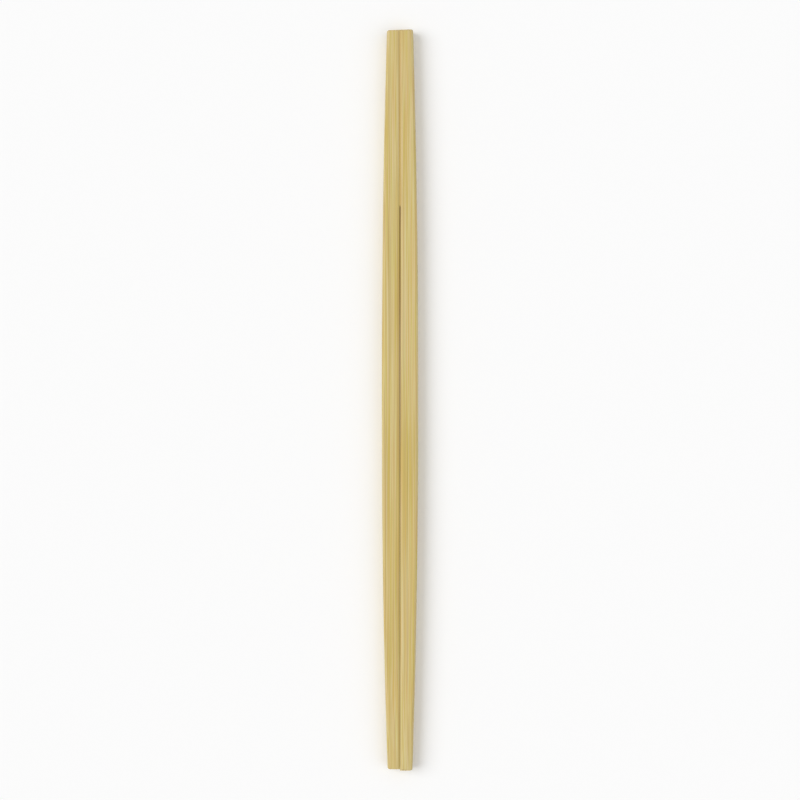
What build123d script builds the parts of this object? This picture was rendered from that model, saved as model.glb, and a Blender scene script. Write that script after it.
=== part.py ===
from build123d import *
from math import degrees
import os

# A pair of disposable table chopsticks, planed and sawn from one strip of bamboo.
# The two sticks lie side by side and stay joined at the head until they are snapped apart.
# X runs across the pair, Y along it with the head at +Y, and Z up.
# The origin lies under the middle of the pair, on the surface that it rests on.
# Sizes are in millimetres.

# Outline seen from above: bowed sides, widest in the middle, with a short straight stretch there
LENGTH = 240.0
MIDDLE_WIDTH = 11.8
HEAD_WIDTH = 8.5
TIP_WIDTH = 8.1
STRAIGHT_SIDE = 16.0

# Outline seen from the side: flat faces in the middle, planed thinner towards both ends
MIDDLE_THICKNESS = 5.6
HEAD_THICKNESS = 4.9
TIP_THICKNESS = 4.7
FLAT_FACE = 110.0

# Rounding of the four long outer edges, and of the rims of the sawn ends
EDGE_RADIUS = 1.1
RIM_RADIUS = 0.6

# Guide groove along the middle of both faces, a plain vee
GROOVE_WIDTH = 1.4
GROOVE_DEPTH = 0.45

# Slit between the sticks, sawn from the tips and stopped short of the head.
# A round blade cut it from below, so its root is an arc that reaches further on the lower face.
# The joined lengths run from the head to the root of the slit, at the bottom of each groove.
JOINED_ABOVE = 57.0
JOINED_BELOW = 41.0
BLADE_RADIUS = 75.0
SLIT_ROOT_WIDTH = 0.32
SLIT_TIP_WIDTH = 0.10

# Every cutter runs this far past the wood
CUT_PAST = MIDDLE_THICKNESS

# Side view of the pair: sketch x is the thickness and sketch y the length
SIDE_VIEW = Plane(origin=(0, 0, 0), x_dir=(0, 0, 1), z_dir=(-1, 0, 0))


def bowed_line(middle, head, tip, straight):
    """Right-hand line of an outline, from tip to head: arc, straight stretch and arc, all tangent."""
    tip_bend = (middle / 2, -straight / 2)
    head_bend = (middle / 2, straight / 2)
    tip_arc = TangentArc(tip_bend, (tip / 2, -LENGTH / 2), tangent=(0, -1))
    head_arc = TangentArc(head_bend, (head / 2, LENGTH / 2), tangent=(0, 1))
    return Curve() + [tip_arc, Line(tip_bend, head_bend), head_arc]


def bowed_outline(middle, head, tip, straight):
    """Closed outline with two bowed sides and square ends."""
    right = bowed_line(middle, head, tip, straight)
    left = mirror(right, about=Plane.YZ)
    head_end = Line((-head / 2, LENGTH / 2), (head / 2, LENGTH / 2))
    tip_end = Line((-tip / 2, -LENGTH / 2), (tip / 2, -LENGTH / 2))
    return make_face(Curve() + [right, left, head_end, tip_end])


def planed_strip():
    """The strip before it is grooved and slit, centred on the origin."""
    plan = bowed_outline(MIDDLE_WIDTH, HEAD_WIDTH, TIP_WIDTH, STRAIGHT_SIDE)
    side = bowed_outline(MIDDLE_THICKNESS, HEAD_THICKNESS, TIP_THICKNESS, FLAT_FACE)
    strip = extrude(plan, MIDDLE_THICKNESS / 2, both=True)
    strip &= extrude(SIDE_VIEW * side, MIDDLE_WIDTH / 2, both=True)
    long_edges = strip.edges().filter_by(lambda edge: abs((edge % 0.5).Y) > 0.9)
    strip = fillet(long_edges, EDGE_RADIUS)
    ends = strip.faces().sort_by(Axis.Y)
    return fillet(ends[0].edges() + ends[-1].edges(), RIM_RADIUS)


def groove_section(side):
    """Section of the groove, a vee run on past the face, where the flat of the upper face ends."""
    reach = GROOVE_WIDTH / 2 * (1 + CUT_PAST / GROOVE_DEPTH)
    vee = make_face(Polyline((0, -GROOVE_DEPTH), (reach, CUT_PAST), (-reach, CUT_PAST), close=True))
    bend = (0, side * FLAT_FACE / 2, MIDDLE_THICKNESS / 2)
    return Plane(origin=bend, x_dir=(1, 0, 0), z_dir=(0, -1, 0)) * vee


def bowed_groove(end_thickness, side):
    """Cutter over one bowed end of the face: the section turned about the centre of the bow."""
    run = (LENGTH - FLAT_FACE) / 2
    drop = (MIDDLE_THICKNESS - end_thickness) / 2
    bow = (run**2 + drop**2) / (2 * drop)
    centre = Axis((0, side * FLAT_FACE / 2, MIDDLE_THICKNESS / 2 - bow), (-side, 0, 0))
    return revolve(groove_section(side), axis=centre, revolution_arc=degrees((run + CUT_PAST) / bow))


def grooves():
    """Wood planed out of the upper and the lower face, the same on both."""
    upper = extrude(groove_section(1), FLAT_FACE)
    upper += bowed_groove(HEAD_THICKNESS, 1)
    upper += bowed_groove(TIP_THICKNESS, -1)
    return [upper, mirror(upper, about=Plane.XY)]


def kerf_plan():
    """The slit from above: it narrows a little from the root to the open tips."""
    root_end = LENGTH / 2 - JOINED_BELOW
    past_tips = -LENGTH / 2 - CUT_PAST
    root = SLIT_ROOT_WIDTH / 2
    tip = SLIT_TIP_WIDTH / 2
    corners = [(-root, root_end), (root, root_end), (tip, past_tips), (-tip, past_tips)]
    return make_face(Polyline(*corners, close=True))


def kerf_side():
    """The slit from the side: right through the wood, with the blade's arc at its root."""
    groove_bottom = MIDDLE_THICKNESS / 2 - GROOVE_DEPTH
    past_face = groove_bottom + CUT_PAST
    past_tips = -LENGTH / 2 - CUT_PAST
    above = LENGTH / 2 - JOINED_ABOVE
    below = LENGTH / 2 - JOINED_BELOW
    root = RadiusArc((groove_bottom, above), (-groove_bottom, below), -BLADE_RADIUS)
    rest = Polyline(
        (-groove_bottom, below),
        (-past_face, below),
        (-past_face, past_tips),
        (past_face, past_tips),
        (past_face, above),
        (groove_bottom, above),
    )
    return make_face(Curve() + [root, rest])


def slit():
    """Saw kerf that parts the sticks from the tips up to the joined stretch."""
    plan = extrude(kerf_plan(), CUT_PAST, both=True)
    side = extrude(SIDE_VIEW * kerf_side(), CUT_PAST, both=True)
    return plan & side


def chopstick_pair():
    """The finished pair, lying on its lower face."""
    pair = planed_strip() - grooves() - slit()
    return Pos(0, 0, MIDDLE_THICKNESS / 2) * pair


os.makedirs("parts", exist_ok=True)
pair = chopstick_pair()
export_step(pair, "parts/chopstick_pair.step")
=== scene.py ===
"""A pair of bamboo table chopsticks, lying on a pale floor.

The pair is one strip of bamboo with a groove along the middle of both faces. It is
sawn from the tips, and the two sticks stay joined at the head. Its mesh is worked
out in millimetres round the middle of the strip, and ends in metres in the frame of
the CAD model: X across the pair, Y along it with the head at +Y, and Z up.
"""

from __future__ import annotations

import logging
import math
from dataclasses import dataclass
from enum import Enum
from typing import Any, Iterable, Mapping, Union

import bmesh
import bpy
from mathutils import Matrix, Vector, noise


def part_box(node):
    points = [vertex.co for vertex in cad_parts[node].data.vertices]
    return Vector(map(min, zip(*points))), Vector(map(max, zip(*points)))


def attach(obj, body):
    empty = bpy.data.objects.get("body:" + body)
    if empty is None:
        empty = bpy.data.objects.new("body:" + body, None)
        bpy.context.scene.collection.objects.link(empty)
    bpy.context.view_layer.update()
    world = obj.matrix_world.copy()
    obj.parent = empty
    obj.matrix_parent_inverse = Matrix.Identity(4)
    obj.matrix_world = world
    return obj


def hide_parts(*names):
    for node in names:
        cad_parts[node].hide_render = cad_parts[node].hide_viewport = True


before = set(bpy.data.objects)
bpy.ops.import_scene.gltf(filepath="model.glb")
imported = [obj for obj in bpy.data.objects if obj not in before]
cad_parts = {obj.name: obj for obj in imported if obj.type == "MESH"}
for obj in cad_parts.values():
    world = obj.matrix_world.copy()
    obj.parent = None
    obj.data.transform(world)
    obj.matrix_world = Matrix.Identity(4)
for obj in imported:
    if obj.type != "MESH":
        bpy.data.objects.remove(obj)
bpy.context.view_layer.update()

LOG = logging.getLogger("chopsticks")

# Metres in a millimetre, and the decimals to which a size in millimetres is read
METRES = 0.001
DECIMALS = 3

# Distances in millimetres at which places in the mesh count as the same
MERGED = 0.0005
TOUCHING = 0.001
NEARBY = 0.01

# Two faces share two corners at most, so three tell them apart
TELLING_CORNERS = 3

# The curve between the levels on a screen and light
FULL_LEVEL = 255
DARK_LIMIT = 0.04045
DARK_SLOPE = 12.92
CURVE_LIFT = 0.055
CURVE_POWER = 2.4

# Numbers of a Mix node's sockets when it mixes colours
MIX_SHARE = 0
MIX_FIRST = 6
MIX_SECOND = 7
MIX_RESULT = 2

# What a Noise node gives on average
NOISE_MIDDLE = 0.5


def node_size(node: str) -> tuple[float, float, float]:
    """Size of a CAD node.

    Args:
        node: the node's name.

    Returns:
        Its extent along X, Y and Z, in millimetres.
    """
    low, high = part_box(node)
    x, y, z = (round(side / METRES, DECIMALS) for side in high - low)
    return x, y, z


def within(value: float) -> float:
    """The value, held between 0 and 1."""
    return min(max(value, 0.0), 1.0)


def rank(corners: Iterable[int], count: int) -> int:
    """Turns the corners of an edge or a face into one number to sort by.

    Args:
        corners: the numbers of its corners.
        count: how many points the mesh has.

    Returns:
        A number that no other edge has, or no other face.
    """
    place = 0
    for corner in sorted(corners)[:TELLING_CORNERS]:
        place = place * count + corner
    return place


# Shader nodes


def to_light(level: float) -> float:
    """Turns a level on a screen into light.

    Args:
        level: the level, 0 to 255.

    Returns:
        The light, 0 to 1.
    """
    share = level / FULL_LEVEL
    if share <= DARK_LIMIT:
        return share / DARK_SLOPE
    return ((share + CURVE_LIFT) / (1 + CURVE_LIFT)) ** CURVE_POWER


def from_screen(red: int, green: int, blue: int) -> Colour:
    """Turns a colour as a screen shows it into the linear one that a shader takes.

    Args:
        red: red, 0 to 255.
        green: green, 0 to 255.
        blue: blue, 0 to 255.

    Returns:
        The linear colour, with an alpha of 1.
    """
    return (to_light(red), to_light(green), to_light(blue), 1.0)


class Signal:
    """A node's output that adds Math nodes when it is used in arithmetic."""

    def __init__(self, sheet: NodeSheet, socket: bpy.types.NodeSocket) -> None:
        """Wraps an output.

        Args:
            sheet: the node sheet that the output is on.
            socket: the output.
        """
        self.sheet = sheet
        self.socket = socket

    def __add__(self, other: Operand) -> Signal:
        """This value plus the other."""
        return self.sheet.maths("ADD", self, other)

    def __radd__(self, other: Operand) -> Signal:
        """The other value plus this."""
        return self.sheet.maths("ADD", other, self)

    def __sub__(self, other: Operand) -> Signal:
        """This value less the other."""
        return self.sheet.maths("SUBTRACT", self, other)

    def __rsub__(self, other: Operand) -> Signal:
        """The other value less this."""
        return self.sheet.maths("SUBTRACT", other, self)

    def __mul__(self, other: Operand) -> Signal:
        """This value times the other."""
        return self.sheet.maths("MULTIPLY", self, other)

    def __rmul__(self, other: Operand) -> Signal:
        """The other value times this."""
        return self.sheet.maths("MULTIPLY", other, self)

    def __truediv__(self, other: Operand) -> Signal:
        """This value over the other."""
        return self.sheet.maths("DIVIDE", self, other)

    def __rtruediv__(self, other: Operand) -> Signal:
        """The other value over this."""
        return self.sheet.maths("DIVIDE", other, self)

    def __abs__(self) -> Signal:
        """This value without its sign."""
        return self.sheet.maths("ABSOLUTE", self)


Operand = Union[Signal, float]
Colour = tuple[float, float, float, float]
Shift = tuple[float, float, float]

WHITE: Colour = (1.0, 1.0, 1.0, 1.0)
LIGHT_BROWN: Colour = from_screen(193, 166, 103)

# Where the hues and the brown marks read their noise, away from the fibres
ASIDE: Shift = (31.0, 47.0, 5.0)


class NodeSheet:
    """The nodes of one material or of the world."""

    def __init__(self, owner: bpy.types.ID) -> None:
        """Starts an empty sheet.

        Args:
            owner: the material or world whose nodes these are.
        """
        owner.use_nodes = True
        self.tree = owner.node_tree
        self.tree.nodes.clear()

    def add(
        self,
        kind: str,
        settings: Mapping[str, Any],
        inputs: Mapping[Any, Any],
    ) -> bpy.types.Node:
        """Adds a node, with its settings made before its sockets are filled.

        Args:
            kind: the node's type, without the word that shader nodes share.
            settings: the node's own properties, such as an operation.
            inputs: values or signals, by socket name or number.

        Returns:
            The node.
        """
        made = self.tree.nodes.new("ShaderNode" + kind)
        for name, value in settings.items():
            setattr(made, name, value)
        for name, value in inputs.items():
            if isinstance(value, Signal):
                self.tree.links.new(value.socket, made.inputs[name])
            else:
                made.inputs[name].default_value = value
        return made

    def signals(self, node: bpy.types.Node, *outputs: Any) -> list[Signal]:
        """Outputs of a node, by name or number."""
        return [Signal(self, node.outputs[output]) for output in outputs]

    def maths(self, operation: str, *values: Operand) -> Signal:
        """One Math node.

        Args:
            operation: the node's operation.
            values: one or two values.

        Returns:
            The result.
        """
        made = self.add("Math", {"operation": operation}, dict(enumerate(values)))
        return self.signals(made, 0)[0]

    def vectors(self, operation: str, inputs: Mapping[Any, Any]) -> Signal:
        """One Vector Math node.

        Args:
            operation: the node's operation.
            inputs: values or signals, by socket name or number.

        Returns:
            The vector.
        """
        made = self.add("VectorMath", {"operation": operation}, inputs)
        return self.signals(made, 0)[0]

    def place(self) -> Signal:
        """Place on the object, in millimetres."""
        metres = self.signals(self.add("TexCoord", {}, {}), "Object")[0]
        return self.vectors("SCALE", {0: metres, "Scale": 1 / METRES})

    def parts(self, vector: Signal) -> list[Signal]:
        """The X, Y and Z of a vector."""
        return self.signals(self.add("SeparateXYZ", {}, {0: vector}), 0, 1, 2)

    def ramp(self, value: Signal, low: float, high: float) -> Signal:
        """Rises smoothly from 0 at a low value to 1 at a high one.

        Args:
            value: the signal to read.
            low: where the rise starts.
            high: where it ends.

        Returns:
            A signal between 0 and 1.
        """
        settings = {"interpolation_type": "SMOOTHSTEP"}
        limits = {"Value": value, "From Min": low, "From Max": high}
        return self.signals(self.add("MapRange", settings, limits), 0)[0]

    def blend(self, share: Operand, first: Any, second: Any) -> Signal:
        """Mixes two colours.

        Args:
            share: how much of the second one, 0 to 1.
            first: a colour or a signal.
            second: a colour or a signal.

        Returns:
            The mixed colour.
        """
        settings = {"data_type": "RGBA", "clamp_factor": True}
        inputs = {MIX_SHARE: share, MIX_FIRST: first, MIX_SECOND: second}
        return self.signals(self.add("Mix", settings, inputs), MIX_RESULT)[0]


# Finishes


@dataclass(frozen=True)
class Grain:
    """Soft noise that is drawn out along the strip. Sizes in millimetres."""

    across: float
    along: float
    detail: float = 2.0
    shift: Shift = (0.0, 0.0, 0.0)
    roughness: float = 0.55

    def signal(self, sheet: NodeSheet, place: Signal) -> Signal:
        """Adds the noise to a sheet.

        Args:
            sheet: the sheet to add to.
            place: place in millimetres.

        Returns:
            Noise round 0, mostly between -0.25 and 0.25.
        """
        moved = sheet.vectors("ADD", {0: place, 1: self.shift})
        scaled = sheet.vectors("DIVIDE", {0: moved, 1: (self.across, self.along, self.across)})
        made = sheet.add("TexNoise", {"noise_dimensions": "3D"}, {
            "Vector": scaled,
            "Scale": 1.0,
            "Detail": self.detail,
            "Roughness": self.roughness,
        })
        return sheet.signals(made, "Fac")[0] - NOISE_MIDDLE


@dataclass(frozen=True)
class Tint:
    """A colour that is laid over the wood, and how much of it where it is strongest."""

    colour: Colour
    share: float

    def over(self, sheet: NodeSheet, wood: Signal, where: Signal) -> Signal:
        """Lays the colour over the wood.

        Args:
            sheet: the sheet to add to.
            wood: the colour underneath.
            where: where the tint lies, 0 to 1.

        Returns:
            The tinted colour.
        """
        return sheet.blend(where * self.share, wood, self.colour)


@dataclass(frozen=True)
class Bundles:
    """Brown bundles of fibre: rods that run along the strip and wander a little."""

    spacing: float = 0.72
    core: float = 0.18
    edge: float = 0.34
    scatter: float = 0.85
    run_out: float = 0.004
    wander: float = 1.9
    sideways: Grain = Grain(30.0, 120.0, detail=1.0)
    inwards: Grain = Grain(24.0, 90.0, detail=1.0, shift=(57.0, 310.0, 91.0))

    def signals(self, sheet: NodeSheet, place: Signal) -> tuple[Signal, Signal]:
        """Adds the rods to a sheet.

        Args:
            sheet: the sheet to add to.
            place: place in millimetres.

        Returns:
            How deep in a rod each point lies, and how brown that rod is, both 0 to 1.
        """
        x, y, z = sheet.parts(place)
        across = (x + self.sideways.signal(sheet, place) * self.wander) / self.spacing
        depth = z + self.inwards.signal(sheet, place) * self.wander + y * self.run_out
        section = sheet.add("CombineXYZ", {}, {0: across, 1: depth / self.spacing})
        fields = {"Vector": sheet.signals(section, 0)[0], "Scale": 1.0, "Randomness": self.scatter}
        cells = sheet.add("TexVoronoi", {"voronoi_dimensions": "2D"}, fields)
        distance, own = sheet.signals(cells, "Distance", "Color")
        return 1.0 - sheet.ramp(distance, self.core, self.edge), sheet.parts(own)[0]


@dataclass(frozen=True)
class BambooFinish:
    """Planed bamboo without varnish: pale wood with fine fibres and brown bundles along it."""

    slot: str = "bamboo"
    # The planed wood: two tones in bands and fibres, then two hues
    pale: Colour = from_screen(215, 199, 149)
    ochre: Colour = from_screen(198, 169, 76)
    ochre_share: float = 0.47
    fibres: Grain = Grain(0.28, 55.0, detail=3.0)
    fibre_strength: float = 5.6
    bands: Grain = Grain(0.9, 75.0)
    band_strength: float = 1.4
    straw: Colour = from_screen(196, 190, 104)
    rosy: Colour = from_screen(212, 178, 128)
    rosy_share: float = 0.5
    hue_share: float = 0.34
    hues: Grain = Grain(0.38, 40.0, shift=ASIDE)
    hue_strength: float = 4.4
    # Brown marks along the grain. A rise is the noise at which a mark starts and is full
    brown_strands: Grain = Grain(0.55, 60.0, detail=1.0, shift=ASIDE)
    strand_rise: tuple[float, float] = (0.02, 0.22)
    strand_tint: Tint = Tint(LIGHT_BROWN, 0.35)
    brown_lines: Grain = Grain(0.24, 48.0, detail=1.0, shift=ASIDE)
    line_rise: tuple[float, float] = (0.06, 0.14)
    line_tint: Tint = Tint(LIGHT_BROWN, 0.5)
    bundles: Bundles = Bundles()
    bundle_tint: Tint = Tint(from_screen(172, 142, 84), 0.6)
    # Painted shade in the groove, partly also the browner cut fibres there: across and along
    groove_shade_tint: Tint = Tint(from_screen(193, 151, 83), 0.22)
    groove_edge: tuple[float, float] = (0.35, 0.65)
    groove_fade: tuple[float, float] = (-100.0, 20.0)
    groove_at_tips: float = 0.2
    # Paler towards both ends, and the sawn ends with their dots
    paling_tint: Tint = Tint(from_screen(215, 199, 149), 0.18)
    paling_reach: float = 30.0
    end_depth: tuple[float, float] = (0.7, 0.5)
    end_tint: Tint = Tint(from_screen(206, 186, 132), 0.6)
    dot_tint: Tint = Tint(from_screen(146, 112, 64), 0.8)
    # The walls of the slit: how far past them, and how far from the middle of the thickness
    wall_tint: Tint = Tint(from_screen(240, 176, 98), 0.8)
    wall_margin: tuple[float, float] = (0.08, 0.12)
    wall_height: tuple[float, float] = (1.4, 1.75)
    # Gloss, and relief in metres
    gloss: float = 0.35
    roughness: float = 0.56
    fibre_roughness: float = 0.2
    end_roughness: float = 0.25
    bump_strength: float = 0.35
    relief: float = 0.0001
    fibre_relief: float = 1.2
    bundle_relief: float = 0.3

    def make(self, pair: ChopstickPair) -> bpy.types.Material:
        """Makes the material.

        Args:
            pair: the piece that wears it, for its sizes.

        Returns:
            The material.
        """
        material = bpy.data.materials.new(self.slot)
        sheet = NodeSheet(material)
        place = sheet.place()
        fibres = self.fibres.signal(sheet, place)
        rods, brownness = self.bundles.signals(sheet, place)
        ends = self.ends(sheet, place, pair)
        planed = self.planed(sheet, place, fibres, rods * brownness)
        height = fibres * self.fibre_relief + rods * self.bundle_relief
        bump = {"Strength": self.bump_strength, "Distance": self.relief, "Height": height}
        surface = sheet.add("BsdfPrincipled", {}, {
            "Base Color": self.worked(sheet, place, pair, planed, ends, rods * brownness),
            "Roughness": self.roughness + fibres * self.fibre_roughness + ends * self.end_roughness,
            "Specular IOR Level": self.gloss,
            "Normal": sheet.signals(sheet.add("Bump", {}, bump), 0)[0],
        })
        sheet.add("OutputMaterial", {}, {"Surface": sheet.signals(surface, 0)[0]})
        return material

    def ends(self, sheet: NodeSheet, place: Signal, pair: ChopstickPair) -> Signal:
        """Marks the sawn ends.

        Args:
            sheet: the sheet to add to.
            place: place in millimetres.
            pair: the piece, for its sizes.

        Returns:
            1 on the sawn ends, and 0 elsewhere.
        """
        start, full = (pair.length / 2 - depth for depth in self.end_depth)
        return sheet.ramp(abs(sheet.parts(place)[1]), start, full)

    def planed(self, sheet: NodeSheet, place: Signal, fibres: Signal, streaks: Signal) -> Signal:
        """Colour of the planed wood.

        Args:
            sheet: the sheet to add to.
            place: place in millimetres.
            fibres: fine noise along the grain, round 0.
            streaks: the bundles, 0 to 1.

        Returns:
            The colour.
        """
        broad = self.bands.signal(sheet, place) * self.band_strength
        fine = fibres * self.fibre_strength
        wood = sheet.blend(self.ochre_share + broad + fine, self.pale, self.ochre)
        rosiness = self.rosy_share + self.hues.signal(sheet, place) * self.hue_strength
        wood = sheet.blend(self.hue_share, wood, sheet.blend(rosiness, self.straw, self.rosy))
        strands = sheet.ramp(self.brown_strands.signal(sheet, place), *self.strand_rise)
        wood = self.strand_tint.over(sheet, wood, strands)
        lines = sheet.ramp(self.brown_lines.signal(sheet, place), *self.line_rise)
        wood = self.line_tint.over(sheet, wood, lines)
        return self.bundle_tint.over(sheet, wood, streaks)

    def worked(
        self,
        sheet: NodeSheet,
        place: Signal,
        pair: ChopstickPair,
        wood: Signal,
        ends: Signal,
        streaks: Signal,
    ) -> Signal:
        """Adds painted shade in the groove (partly also its browner cut fibres), and what the slit
        and the sawn ends do to the wood's colour.

        Args:
            sheet: the sheet to add to.
            place: place in millimetres.
            pair: the piece, for its sizes.
            wood: colour of the planed wood.
            ends: 1 on the sawn ends.
            streaks: the bundles, 0 to 1.

        Returns:
            The base colour.
        """
        x, y, z = sheet.parts(place)
        sides = 1.0 - ends
        # Painted shade down the groove, partly also its browner cut fibres, strongest towards the
        # head
        groove = 1.0 - sheet.ramp(abs(x), *self.groove_edge)
        towards_head = sheet.ramp(y, *self.groove_fade) * (1.0 - self.groove_at_tips)
        strength = towards_head + self.groove_at_tips
        wood = self.groove_shade_tint.over(sheet, wood, groove * sides * strength)
        # Paler towards both ends
        paling = sheet.ramp(abs(y), pair.length / 2 - self.paling_reach, pair.length / 2)
        wood = self.paling_tint.over(sheet, wood, paling)
        wood = self.end_tint.over(sheet, wood, ends)
        wood = self.dot_tint.over(sheet, wood, ends * streaks)
        near, far = (pair.wall + margin for margin in self.wall_margin)
        between = 1.0 - sheet.ramp(abs(x), near, far)
        inside = 1.0 - sheet.ramp(abs(z - pair.half_thickness), *self.wall_height)
        return self.wall_tint.over(sheet, wood, between * inside * sides)


@dataclass(frozen=True)
class FloorFinish:
    """Plain white floor that keeps the soft shadow."""

    name: str = "floor_white"
    tone: float = 0.97
    roughness: float = 0.9

    def make(self) -> bpy.types.Material:
        """Makes the material.

        Returns:
            The material.
        """
        material = bpy.data.materials.new(self.name)
        sheet = NodeSheet(material)
        flat = sheet.add("BsdfPrincipled", {}, {
            "Base Color": (self.tone, self.tone, self.tone, 1.0),
            "Roughness": self.roughness,
            "Specular IOR Level": 0.0,
        })
        sheet.add("OutputMaterial", {}, {"Surface": sheet.signals(flat, 0)[0]})
        return material


# The pair


class End(Enum):
    """The two sawn ends, by the sign of their place along the pair."""

    TIPS = -1
    HEAD = 1

    @classmethod
    def of(cls, y: float) -> End:
        """The end on whose side a place along the pair lies."""
        return cls.HEAD if y > 0 else cls.TIPS


@dataclass(frozen=True)
class Bow:
    """A line of the pair's outline: straight in the middle, then an arc to each end."""

    middle: float
    head: float
    tip: float
    straight: float

    def drawn_in(self, y: float, length: float) -> float:
        """How far the line has come in from its place in the middle.

        Args:
            y: place along the pair.
            length: length of the pair.

        Returns:
            The distance, in millimetres.
        """
        end = self.head if End.of(y) is End.HEAD else self.tip
        drop = (self.middle - end) / 2
        run = (length - self.straight) / 2
        past = max(abs(y) - self.straight / 2, 0.0)
        radius = (run**2 + drop**2) / (2 * drop)
        return radius - math.sqrt(radius**2 - past**2)


@dataclass(frozen=True)
class Unevenness:
    """Slight waves that planing leaves: patches for each millimetre, and half their depth."""

    across: float
    along: float
    depth: float
    shift: float = 0.0

    def at(self, spot: Vector) -> float:
        """Reads the waves at a place.

        Args:
            spot: the place.

        Returns:
            Their depth there, never below zero.
        """
        along = spot.y * self.along + self.shift
        place = Vector((spot.x * self.across, along, spot.z * self.across))
        return self.depth * (1 + noise.noise(place))


STRIP_WIDTH, STRIP_LENGTH, STRIP_THICKNESS = node_size("chopstick_pair")


@dataclass
class ChopstickPair:
    """The pair, modelled as its right-hand half and mirrored. Sizes in millimetres."""

    name: str = "bamboo_pair"
    node: str = "chopstick_pair"
    length: float = STRIP_LENGTH
    sides: Bow = Bow(middle=STRIP_WIDTH, head=8.5, tip=8.1, straight=16.0)
    faces: Bow = Bow(middle=STRIP_THICKNESS, head=4.9, tip=4.7, straight=110.0)
    edge_radius: float = 1.1
    rim_radius: float = 0.6
    groove_width: float = 1.4
    groove_depth: float = 0.45
    shoulder_radius: float = 0.3
    joined_above: float = 57.0
    joined_below: float = 41.0
    blade_radius: float = 75.0
    slit_root: float = 0.32
    slit_tip: float = 0.10
    # Share of the slit's width that is left in the middle of the thickness
    waist: float = 0.3
    # How finely the mesh is cut, and how far along it the bend of the slit's root spreads
    stations: int = 236
    rim_stations: int = 6
    root_spread: float = 42.0
    column_width: float = 0.2
    fewest_columns: int = 2
    side_rows: int = 10
    edge_steps: int = 8
    shoulder_steps: int = 4
    sharp_angle: float = 38.0
    # Chance marks: the head askew, the left stick short, and the waves of the planed wood
    head_slant: float = 0.28
    left_tip_short: float = 0.45
    end_reach: float = 25.0
    fibre_waves: Unevenness = Unevenness(across=2.3, along=0.035, depth=0.010)
    plane_waves: Unevenness = Unevenness(across=0.15, along=0.03, depth=0.025, shift=7.0)

    @property
    def half_width(self) -> float:
        """Half the width in the middle."""
        return self.sides.middle / 2

    @property
    def half_thickness(self) -> float:
        """Half the thickness in the middle."""
        return self.faces.middle / 2

    @property
    def root_above(self) -> float:
        """Place along of the slit's root at the bottom of the upper groove."""
        return self.length / 2 - self.joined_above

    @property
    def root_below(self) -> float:
        """Place along of the slit's root at the bottom of the lower groove."""
        return self.length / 2 - self.joined_below

    @property
    def groove_floor(self) -> float:
        """Height of the groove's bottom over the middle of the thickness."""
        return self.half_thickness - self.groove_depth

    @property
    def slope(self) -> float:
        """Rise of the groove's flank for each millimetre across."""
        return self.groove_depth / (self.groove_width / 2)

    @property
    def wall(self) -> float:
        """Place across of the slit's wall, before the slit narrows."""
        return self.slit_root / 2

    @property
    def lip(self) -> float:
        """Height at which the slit's wall meets the groove's flank."""
        return self.groove_floor + self.slope * self.wall

    @property
    def turn(self) -> float:
        """Place across at which the rounding of the long edge starts."""
        return self.half_width - self.edge_radius

    @property
    def shoulder_reach(self) -> float:
        """Distance from the groove's sharp edge at which its rounding starts."""
        return self.shoulder_radius * math.tan(math.atan(self.slope) / 2)

    @property
    def flank_end(self) -> float:
        """Place across at which the groove's flat flank ends."""
        return self.groove_width / 2 - self.shoulder_reach / math.hypot(1, self.slope)

    @property
    def face_start(self) -> float:
        """Place across at which the flat of the face starts."""
        return self.groove_width / 2 + self.shoulder_reach

    @property
    def root_station(self) -> int:
        """Number of the station that is bent to the root of the slit."""
        middle = (self.root_above + self.root_below) / 2
        return round(self.number(middle))

    # The rough half: a straight prism, cut into rows, columns and stations

    def tube(self) -> bmesh.types.BMesh:
        """Starts the right-hand half as an open tube with the section of the strip.

        Returns:
            The new mesh.
        """
        shape = bmesh.new()
        upper = [
            (self.wall, self.lip),
            (self.groove_width / 2, self.half_thickness),
            (self.half_width, self.half_thickness),
        ]
        outline = upper + [(x, -z) for x, z in reversed(upper)]
        rings = []
        for end in End:
            ring = [shape.verts.new((x, end.value * self.length / 2, z)) for x, z in outline]
            rings += [shape.edges.new(ends) for ends in zip(ring, ring[1:] + ring[:1])]
        bmesh.ops.bridge_loops(shape, edges=rings)
        return shape

    def ease(self, shape: bmesh.types.BMesh, across: float, reach: float, steps: int) -> None:
        """Rounds the two long edges, above and below, at one place across.

        Args:
            shape: the mesh.
            across: place of the edges.
            reach: how far along the faces the rounding goes.
            steps: number of segments.
        """
        edges = [e for e in self.long_edges(shape) if abs(e.verts[0].co.x - across) < TOUCHING]
        bmesh.ops.bevel(
            shape,
            geom=edges,
            offset=reach,
            offset_type="OFFSET",
            segments=steps,
            profile=0.5,
            affect="EDGES",
            material=-1,
        )

    def long_edges(self, shape: bmesh.types.BMesh) -> list[bmesh.types.BMEdge]:
        """Edges that run along the pair."""
        return [e for e in shape.edges if abs(e.verts[0].co.y - e.verts[1].co.y) > TOUCHING]

    def upright_edges(self, shape: bmesh.types.BMesh) -> list[bmesh.types.BMEdge]:
        """Edges that cross the middle of the thickness."""
        return [e for e in shape.edges if e.verts[0].co.z * e.verts[1].co.z < 0]

    def close_ends(self, shape: bmesh.types.BMesh) -> None:
        """Covers both ends, column by column, from the upper line to the lower one.

        Args:
            shape: the mesh.
        """
        others = [*self.long_edges(shape), *self.upright_edges(shape)]
        across = [e for e in shape.edges if e not in others]
        for end in End:
            lines = [e for e in across if End.of(e.verts[0].co.y) is end]
            bmesh.ops.bridge_loops(shape, edges=lines)

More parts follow.
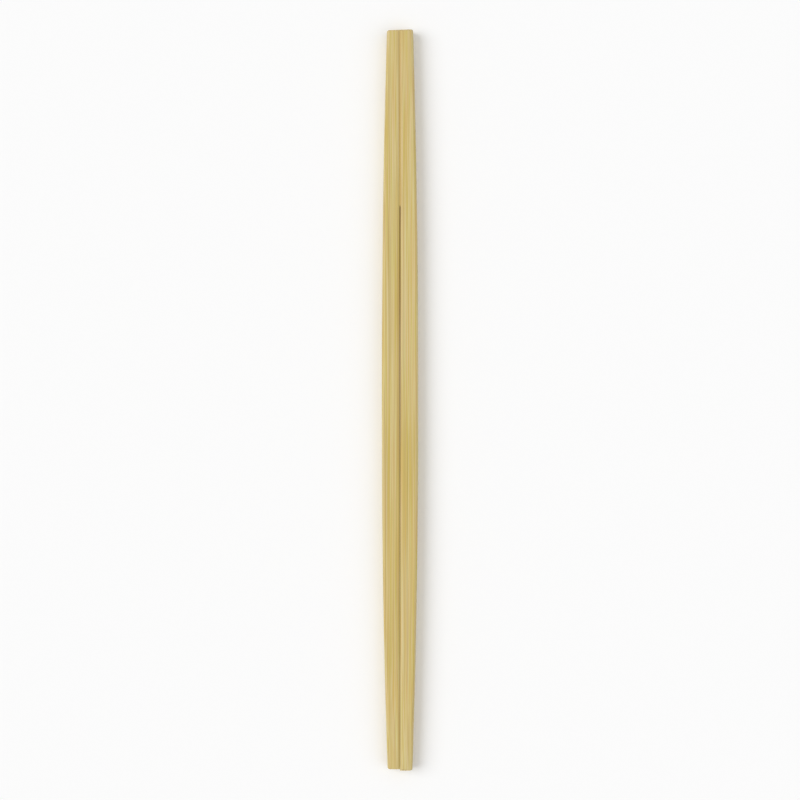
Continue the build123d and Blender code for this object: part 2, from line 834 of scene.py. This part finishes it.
    def divide(self, shape: bmesh.types.BMesh) -> None:
        """Cuts the half into rows, columns and stations.

        Args:
            shape: the mesh.
        """
        self.cut(shape, self.upright_edges(shape), self.side_rows)
        for start, end in ((self.wall, self.flank_end), (self.face_start, self.turn)):
            span = [
                e
                for e in shape.edges
                if abs(min(v.co.x for v in e.verts) - start) < NEARBY
                and abs(max(v.co.x for v in e.verts) - end) < NEARBY
            ]
            columns = max(round((end - start) / self.column_width), self.fewest_columns)
            self.cut(shape, span, columns)
        self.cut(shape, self.long_edges(shape), self.stations)

    def cut(self, shape: bmesh.types.BMesh, edges: list[bmesh.types.BMEdge], pieces: int) -> None:
        """Cuts edges, and the faces between them, into equal pieces."""
        bmesh.ops.subdivide_edges(shape, edges=edges, cuts=pieces - 1, use_grid_fill=True)

    def open_joined_stretch(self, shape: bmesh.types.BMesh) -> None:
        """Takes the wall away above the slit, and runs its border on to the middle plane.

        Args:
            shape: the mesh.
        """
        start = self.spot(self.root_station) - NEARBY
        wall = [
            f
            for f in shape.faces
            if all(v.co.x < self.wall + TOUCHING and v.co.y > start for v in f.verts)
        ]
        bmesh.ops.delete(shape, geom=wall, context="FACES")
        border = [e for e in shape.edges if e.is_boundary]
        grown = bmesh.ops.extrude_edge_only(shape, edges=border)
        inner = [item for item in grown["geom"] if isinstance(item, bmesh.types.BMVert)]
        bmesh.ops.scale(shape, vec=(0, 1, 1), verts=inner)
        for vertex in inner:
            if abs(vertex.co.z) > self.groove_floor:
                vertex.co.z = math.copysign(self.groove_floor, vertex.co.z)
        self.put_in_order(shape)

    def put_in_order(self, shape: bmesh.types.BMesh) -> None:
        """Sorts edges and faces by their corners, because extruding leaves them in any order.

        Args:
            shape: the mesh.
        """
        shape.verts.index_update()
        count = len(shape.verts)
        for parts in (shape.edges, shape.faces):
            parts.sort(key=lambda part: rank((v.index for v in part.verts), count))

    # The true shape: where each point of the rough half belongs

    def number(self, y: float) -> float:
        """Number of the station at a place along the rough half."""
        return (y / self.length + 0.5) * self.stations

    def spot(self, station: float) -> float:
        """Place along the rough half of a station."""
        return (station / self.stations - 0.5) * self.length

    def true_spot(self, y: float) -> tuple[float, float]:
        """Moves a station so that the last few follow the rounded rims.

        Args:
            y: place along the rough half.

        Returns:
            The place along the pair, and how far the rim has come in there.
        """
        station = self.number(y)
        inner = self.length / 2 - self.rim_radius
        from_end = min(station, self.stations - station)
        if from_end >= self.rim_stations:
            share = (station - self.rim_stations) / (self.stations - 2 * self.rim_stations)
            return inner * (2 * share - 1), 0.0
        angle = math.radians(90) * (1 - from_end / self.rim_stations)
        out = inner + self.rim_radius * math.sin(angle)
        return math.copysign(out, y), self.rim_radius * (1 - math.cos(angle))

    def root(self, z: float) -> float:
        """Place along of the slit's root: the arc that the round blade leaves.

        Args:
            z: height over the middle of the thickness.

        Returns:
            The place along the pair.
        """
        top = Vector((self.root_above, self.groove_floor))
        bottom = Vector((self.root_below, -self.groove_floor))
        chord = bottom - top
        rise = math.sqrt(self.blade_radius**2 - (chord.length / 2) ** 2)
        centre = (top + bottom) / 2 + Vector((chord.y, -chord.x)).normalized() * rise
        return centre.x + math.sqrt(self.blade_radius**2 - (z - centre.y) ** 2)

    def bent_spot(self, y: float, z: float) -> tuple[float, float]:
        """Adds the bend that lays one station on the root of the slit.

        Args:
            y: place along the rough half.
            z: height over the middle of the thickness.

        Returns:
            The place along the pair, and how far the rim has come in there.
        """
        spot, rim = self.true_spot(y)
        station, _ = self.true_spot(self.spot(self.root_station))
        bend = self.root(max(-self.lip, min(self.lip, z))) - station
        return spot + bend * max(0.0, 1 - abs(spot - station) / self.root_spread), rim

    def height(self, x: float) -> float:
        """Height of the section's upper line over the middle of the thickness.

        Args:
            x: place across.

        Returns:
            The height.
        """
        if x > self.turn:
            drop = math.sqrt(max(self.edge_radius**2 - (x - self.turn) ** 2, 0.0))
            return self.half_thickness - self.edge_radius + drop
        if x >= self.face_start:
            return self.half_thickness
        if x > self.flank_end:
            fall = math.sqrt(max(self.shoulder_radius**2 - (self.face_start - x) ** 2, 0.0))
            return self.half_thickness - self.shoulder_radius + fall
        return self.groove_floor + self.slope * x

    def narrowed(self, x: float, y: float, z: float) -> float:
        """Brings the slit's wall in towards the tips, and further in its waist.

        Args:
            x: place across on the rough half.
            y: place along the pair.
            z: height on the rough half.

        Returns:
            The place across.
        """
        if x >= self.flank_end or y >= self.root_below:
            return x
        run = (self.root_below - y) / (self.root_below + self.length / 2)
        step = (self.slit_root - self.slit_tip) / 2 * max(run, 0.0)
        x -= step * min((self.flank_end - x) / (self.flank_end - self.wall), x / self.wall)
        if x < self.wall + TOUCHING and abs(z) < self.groove_floor:
            x *= self.waist + (1 - self.waist) * (z / self.groove_floor) ** 2
        return x

    def true_point(self, rough: Vector) -> Vector:
        """Where a point of the rough half belongs on the finished one.

        Args:
            rough: the point of the prism.

        Returns:
            The point with the taper, the rims, the narrowing slit and its root.
        """
        y, rim = self.bent_spot(rough.y, rough.z)
        share = rough.z / self.height(rough.x)
        x = self.narrowed(rough.x, y, rough.z)
        across = within((x - self.turn) / self.edge_radius)
        upright = math.sqrt(1 - across**2)
        top = self.height(x)
        top = top - rim * upright if x > self.turn else min(top, self.half_thickness - rim)
        side = self.sides.drawn_in(y, self.length)
        side *= within((x - self.face_start) / (self.turn - self.face_start))
        face = self.faces.drawn_in(y, self.length)
        return Vector((x - rim * across - side, y, share * (top - face)))

    # The whole pair

    def trim_ends(self, shape: bmesh.types.BMesh) -> None:
        """Cuts the head a little askew and one stick a little short, always inwards.

        Args:
            shape: the mesh.
        """
        for vertex in shape.verts:
            share = max(0.0, abs(vertex.co.y) - self.length / 2 + self.end_reach) / self.end_reach
            if End.of(vertex.co.y) is End.HEAD:
                vertex.co.y -= share * self.head_slant * (0.5 - vertex.co.x / self.sides.head)
            elif vertex.co.x < 0:
                vertex.co.y += share * self.left_tip_short

    def roughen(self, shape: bmesh.types.BMesh) -> None:
        """Adds the slight unevenness of planed bamboo, always inwards. The slit stays even.

        Args:
            shape: the mesh.
        """
        shape.normal_update()
        for vertex in shape.verts:
            step = vertex.normal * (self.fibre_waves.at(vertex.co) + self.plane_waves.at(vertex.co))
            if abs(vertex.co.x) <= self.wall:
                step.x = 0.0
            vertex.co -= step

    def build(self) -> bpy.types.Object:
        """Makes the pair.

        Returns:
            The object, dressed and riding on its body.
        """
        shape = self.tube()
        self.ease(shape, self.half_width, self.edge_radius, self.edge_steps)
        self.ease(shape, self.groove_width / 2, self.shoulder_reach, self.shoulder_steps)
        self.close_ends(shape)
        self.divide(shape)
        self.open_joined_stretch(shape)
        for vertex in shape.verts:
            vertex.co = self.true_point(vertex.co)
        everything = [*shape.verts, *shape.edges, *shape.faces]
        bmesh.ops.mirror(shape, geom=everything, matrix=Matrix(), merge_dist=MERGED, axis="X")
        bmesh.ops.remove_doubles(shape, verts=shape.verts, dist=MERGED)
        bmesh.ops.recalc_face_normals(shape, faces=shape.faces)
        self.trim_ends(shape)
        self.roughen(shape)
        bmesh.ops.translate(shape, vec=(0, 0, self.half_thickness), verts=shape.verts)
        bmesh.ops.scale(shape, vec=(METRES, METRES, METRES), verts=shape.verts)
        return self.dress(shape)

    def dress(self, shape: bmesh.types.BMesh) -> bpy.types.Object:
        """Turns the mesh into an object with its finish.

        Args:
            shape: the mesh, in metres.

        Returns:
            The object.
        """
        mesh = bpy.data.meshes.new(self.name)
        shape.to_mesh(mesh)
        shape.free()
        mesh.shade_smooth()
        mesh.set_sharp_from_angle(angle=math.radians(self.sharp_angle))
        finish = BambooFinish()
        mesh.materials.append(finish.make(self))
        piece = bpy.data.objects.new(self.name, mesh)
        bpy.context.scene.collection.objects.link(piece)
        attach(piece, "root")
        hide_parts(self.node)
        LOG.info("%s: %d faces, slot %s", self.name, len(mesh.polygons), finish.slot)
        return piece


# Floor, light and camera. Sizes in metres, angles in degrees


@dataclass
class Floor:
    """The floor, wide enough for every view."""

    name: str = "floor"
    reach: float = 60.0
    below: float = 0.00002
    finish: FloorFinish = FloorFinish()

    def build(self) -> bpy.types.Object:
        """Makes the floor.

        Returns:
            The object.
        """
        shape = bmesh.new()
        bmesh.ops.create_grid(shape, x_segments=1, y_segments=1, size=self.reach)
        bmesh.ops.translate(shape, vec=(0, 0, -self.below), verts=shape.verts)
        mesh = bpy.data.meshes.new(self.name)
        shape.to_mesh(mesh)
        shape.free()
        mesh.materials.append(self.finish.make())
        plane = bpy.data.objects.new(self.name, mesh)
        bpy.context.scene.collection.objects.link(plane)
        LOG.info("%s: %.1f m across", self.name, 2 * self.reach)
        return plane


@dataclass(frozen=True)
class SoftSun:
    """A wide, even lamp. Its share is what it adds to a white face that looks up."""

    name: str
    azimuth: float
    elevation: float
    share: float
    width: float

    def build(self) -> bpy.types.Object:
        """Makes the lamp.

        Returns:
            The object.
        """
        turn, rise = math.radians(self.azimuth), math.radians(self.elevation)
        level = math.cos(rise)
        towards = Vector((math.cos(turn) * level, math.sin(turn) * level, math.sin(rise)))
        light = bpy.data.lights.new(self.name, "SUN")
        light.energy = math.pi * self.share / towards.z
        light.angle = math.radians(self.width)
        lamp = bpy.data.objects.new(self.name, light)
        lamp.rotation_euler = towards.to_track_quat("Z", "Y").to_euler()
        bpy.context.scene.collection.objects.link(lamp)
        LOG.info("%s: share %.2f", self.name, self.share)
        return lamp


@dataclass
class Studio:
    """Plain soft light, at a level at which a colour renders as it is written."""

    sky_name: str = "studio_sky"
    sky_share: float = 0.50
    suns: tuple[SoftSun, ...] = (
        SoftSun("key_sun", azimuth=172.0, elevation=46.0, share=0.36, width=45.0),
        SoftSun("fill_sun", azimuth=-20.0, elevation=50.0, share=0.14, width=60.0),
    )

    def build(self) -> None:
        """Makes the lamps and the sky, which is seen as plain white."""
        for sun in self.suns:
            sun.build()
        world = bpy.data.worlds.new(self.sky_name)
        bpy.context.scene.world = world
        sheet = NodeSheet(world)
        rays = ("Is Camera Ray", "Is Glossy Ray", "Is Transmission Ray")
        camera, glossy, through = sheet.signals(sheet.add("LightPath", {}, {}), *rays)
        seen = sheet.maths("MINIMUM", camera + glossy + through, 1.0)
        strength = self.sky_share + seen * (1.0 - self.sky_share)
        sky = sheet.add("Background", {}, {"Color": WHITE, "Strength": strength})
        sheet.add("OutputWorld", {}, {"Surface": sheet.signals(sky, 0)[0]})
        LOG.info("%s: share %.2f", self.sky_name, self.sky_share)


@dataclass
class View:
    """The camera straight above the pair, with the head at the top of the picture."""

    name: str = "camera"
    lens: float = 85.0
    sensor: float = 36.0
    height: float = 0.616

    def build(self) -> bpy.types.Object:
        """Makes the camera.

        Returns:
            The camera object.
        """
        lens = bpy.data.cameras.new(self.name)
        lens.lens = self.lens
        lens.sensor_width = self.sensor
        camera = bpy.data.objects.new(self.name, lens)
        camera.location = (0.0, 0.0, self.height)
        bpy.context.scene.collection.objects.link(camera)
        bpy.context.scene.camera = camera
        LOG.info("%s: %.0f mm lens, %.3f m up", self.name, self.lens, self.height)
        return camera


def main() -> None:
    """Builds the view, the light, the floor and the pair, in that order."""
    logging.basicConfig(level=logging.INFO, format="%(message)s")
    bpy.context.scene.view_settings.view_transform = "Standard"
    View().build()
    Studio().build()
    Floor().build()
    ChopstickPair().build()


if __name__ == "__main__":
    main()
